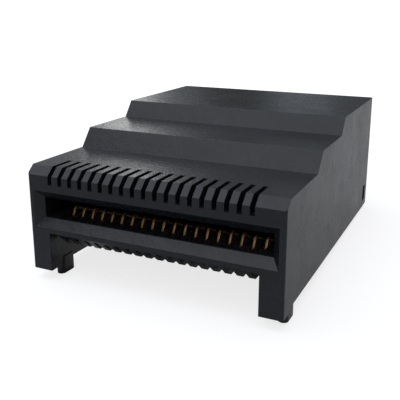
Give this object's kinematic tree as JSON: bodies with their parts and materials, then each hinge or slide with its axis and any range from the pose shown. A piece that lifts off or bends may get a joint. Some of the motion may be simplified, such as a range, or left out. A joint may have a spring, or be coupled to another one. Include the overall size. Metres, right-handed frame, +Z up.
{
  "type": "surface-mount module socket",
  "caption": "Low black board-mounted card-edge socket for a double-density pluggable module, with a combed front, stepped roof and gold spring contacts in two tiers.",
  "frame": {"origin": "on the board's surface, under the middle of the mouth, in the plane of the front face", "axes": "+X along the contact rows, +Y from the mouth into the socket, +Z up from the board"},
  "size_m": [0.0184, 0.0241, 0.0106],
  "materials": {
    "housing_plastic": "black glass-filled liquid-crystal polymer with a fine eroded grain",
    "wafer_plastic": "black liquid-crystal polymer moulded round the leads",
    "contact_metal": "copper alloy strip with gold plating"
  },
  "bodies": {
    "root": {"housing": "housing_plastic", "upper_front_wafer": "wafer_plastic", "upper_rear_wafer": "wafer_plastic", "lower_rear_wafer": "wafer_plastic", "lower_front_wafer": "wafer_plastic", "upper_front_grounds": "contact_metal", "upper_front_low_speed": "contact_metal", "upper_front_pair_1": "contact_metal", "upper_front_pair_2": "contact_metal", "upper_front_pair_3": "contact_metal", "upper_front_pair_4": "contact_metal", "upper_rear_grounds": "contact_metal", "upper_rear_low_speed": "contact_metal", "upper_rear_pair_1": "contact_metal", "upper_rear_pair_2": "contact_metal", "upper_rear_pair_3": "contact_metal", "upper_rear_pair_4": "contact_metal", "lower_rear_grounds": "contact_metal", "lower_rear_low_speed": "contact_metal", "lower_rear_pair_1": "contact_metal", "lower_rear_pair_2": "contact_metal", "lower_rear_pair_3": "contact_metal", "lower_rear_pair_4": "contact_metal", "lower_front_grounds": "contact_metal", "lower_front_low_speed": "contact_metal", "lower_front_pair_1": "contact_metal", "lower_front_pair_2": "contact_metal", "lower_front_pair_3": "contact_metal", "lower_front_pair_4": "contact_metal"}
  },
  "joints": []
}
